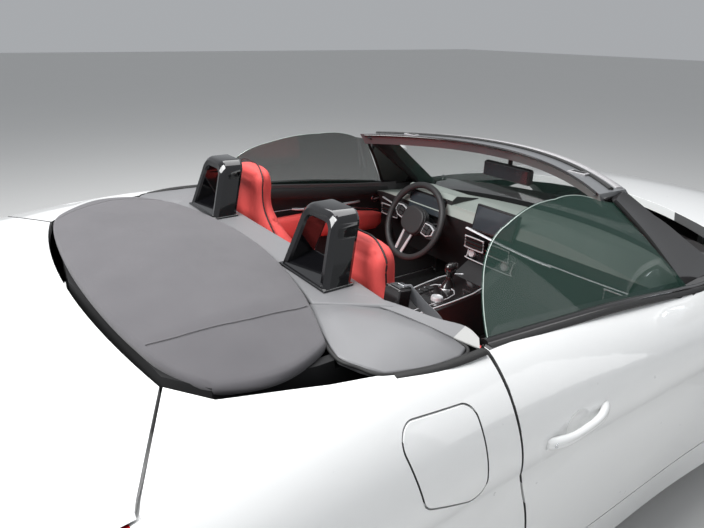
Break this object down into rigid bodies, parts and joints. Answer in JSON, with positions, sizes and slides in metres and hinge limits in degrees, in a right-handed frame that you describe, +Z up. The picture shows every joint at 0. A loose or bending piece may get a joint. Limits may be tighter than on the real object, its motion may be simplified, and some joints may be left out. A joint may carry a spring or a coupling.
{
  "type": "convertible car",
  "caption": "Two-seat convertible car with its soft top folded, opening doors, bonnet and boot lid, and steered front wheels.",
  "frame": {"origin": "on the ground, under the middle of the car's length and width", "axes": "+X forwards to the nose, +Y to the left, +Z up"},
  "size_m": [4.324, 2.024, 1.186],
  "materials": {
    "paint_white": "gloss white paint",
    "underbody_dark": "dark underbody",
    "black_trim": "black trim",
    "tinted_glass": "green tinted glass",
    "cover_cloth": "charcoal woven cloth",
    "deck_plastic": "satin grey plastic",
    "hoop_gloss": "gloss black plastic",
    "seat_leather": "coral red leather",
    "dash_leather": "black leather",
    "lamp_clear": "clear lamp cover",
    "lamp_red": "red lamp cover",
    "alloy": "silver paint",
    "tyre_rubber": "tyre rubber",
    "steel": "brushed steel"
  },
  "bodies": {
    "chassis": {"centre_console": "dash_leather", "dashboard": "dash_leather", "deck_trim": "deck_plastic", "diffuser": "black_trim", "engine_block": "underbody_dark", "exhaust": "steel", "floor_pan": "underbody_dark", "front_bumper": "paint_white", "front_subframe": "underbody_dark", "front_wing_left": "paint_white", "front_wing_right": "paint_white", "gear_lever": "dash_leather", "grille": "black_trim", "headlamps": "lamp_clear", "interior_mirror": "black_trim", "quarter_left": "paint_white", "quarter_right": "paint_white", "rear_axle": "underbody_dark", "rear_bumper": "paint_white", "roll_hoop_left": "hoop_gloss", "roll_hoop_right": "hoop_gloss", "seat_left": "seat_leather", "seat_right": "seat_leather", "side_cover_left": "deck_plastic", "side_cover_right": "deck_plastic", "sill_left": "paint_white", "sill_right": "paint_white", "soft_top_cover": "cover_cloth", "steering_column": "black_trim", "tail_lamps": "lamp_red", "top_well": "black_trim", "towing_socket": "steel", "windscreen": "tinted_glass", "windscreen_frame": "black_trim"},
    "bonnet": {"bonnet": "paint_white"},
    "boot_lid": {"boot_lid": "paint_white"},
    "door_left": {"door_left": "paint_white", "side_glass_left": "tinted_glass", "door_mirror_left": "black_trim", "door_handle_left": "paint_white"},
    "door_right": {"door_right": "paint_white", "side_glass_right": "tinted_glass", "door_mirror_right": "black_trim", "door_handle_right": "paint_white"},
    "fuel_flap": {"fuel_flap": "paint_white"},
    "steering_wheel": {"steering_wheel": "dash_leather"},
    "knuckle_left": {"knuckle_left": "underbody_dark"},
    "knuckle_right": {"knuckle_right": "underbody_dark"},
    "wheel_front_left": {"tyre_front_left": "tyre_rubber", "rim_front_left": "alloy"},
    "wheel_front_right": {"tyre_front_right": "tyre_rubber", "rim_front_right": "alloy"},
    "wheel_rear_left": {"tyre_rear_left": "tyre_rubber", "rim_rear_left": "alloy"},
    "wheel_rear_right": {"tyre_rear_right": "tyre_rubber", "rim_rear_right": "alloy"}
  },
  "joints": [
    {"name": "door_left_hinge", "type": "hinge", "parent": "chassis", "child": "door_left", "pos_m": [0.526, 0.87, 0.3], "axis": [0, 0, -1], "range_deg": [0, 65]},
    {"name": "door_right_hinge", "type": "hinge", "parent": "chassis", "child": "door_right", "pos_m": [0.526, -0.87, 0.3], "axis": [0, 0, 1], "range_deg": [0, 65]},
    {"name": "bonnet_hinge", "type": "hinge", "parent": "chassis", "child": "bonnet", "pos_m": [0.628, 0, 0.87], "axis": [0, -1, 0], "range_deg": [0, 50]},
    {"name": "boot_lid_hinge", "type": "hinge", "parent": "chassis", "child": "boot_lid", "pos_m": [-1.365, 0, 1.04], "axis": [0, 1, 0], "range_deg": [0, 75]},
    {"name": "fuel_flap_hinge", "type": "hinge", "parent": "chassis", "child": "fuel_flap", "pos_m": [-0.844, -0.935, 0.82], "axis": [0, 0.2425, 0.9701], "range_deg": [0, 90]},
    {"name": "steer_left", "type": "hinge", "parent": "chassis", "child": "knuckle_left", "pos_m": [1.334, 0.7865, 0.329], "axis": [0, 0, 1], "range_deg": [-35, 35]},
    {"name": "steer_right", "type": "hinge", "parent": "chassis", "child": "knuckle_right", "pos_m": [1.334, -0.7865, 0.329], "axis": [0, 0, 1], "range_deg": [-35, 35]},
    {"name": "steering_wheel_turn", "type": "hinge", "parent": "chassis", "child": "steering_wheel", "pos_m": [0.057, 0.368, 0.798], "axis": [-0.9239, 0, 0.3827], "range_deg": [-460, 460]},
    {"name": "wheel_front_left_spin", "type": "hinge", "parent": "knuckle_left", "child": "wheel_front_left", "pos_m": [1.334, 0.8045, 0.329], "axis": [0, 1, 0], "continuous": true},
    {"name": "wheel_front_right_spin", "type": "hinge", "parent": "knuckle_right", "child": "wheel_front_right", "pos_m": [1.334, -0.8045, 0.329], "axis": [0, 1, 0], "continuous": true},
    {"name": "wheel_rear_left_spin", "type": "hinge", "parent": "chassis", "child": "wheel_rear_left", "pos_m": [-1.136, 0.808, 0.329], "axis": [0, 1, 0], "continuous": true},
    {"name": "wheel_rear_right_spin", "type": "hinge", "parent": "chassis", "child": "wheel_rear_right", "pos_m": [-1.136, -0.808, 0.329], "axis": [0, 1, 0], "continuous": true}
  ],
  "couplings": [
    {"joint": "steer_right", "follows": "steer_left", "ratio": 1},
    {"joint": "steering_wheel_turn", "follows": "steer_left", "ratio": 13}
  ]
}
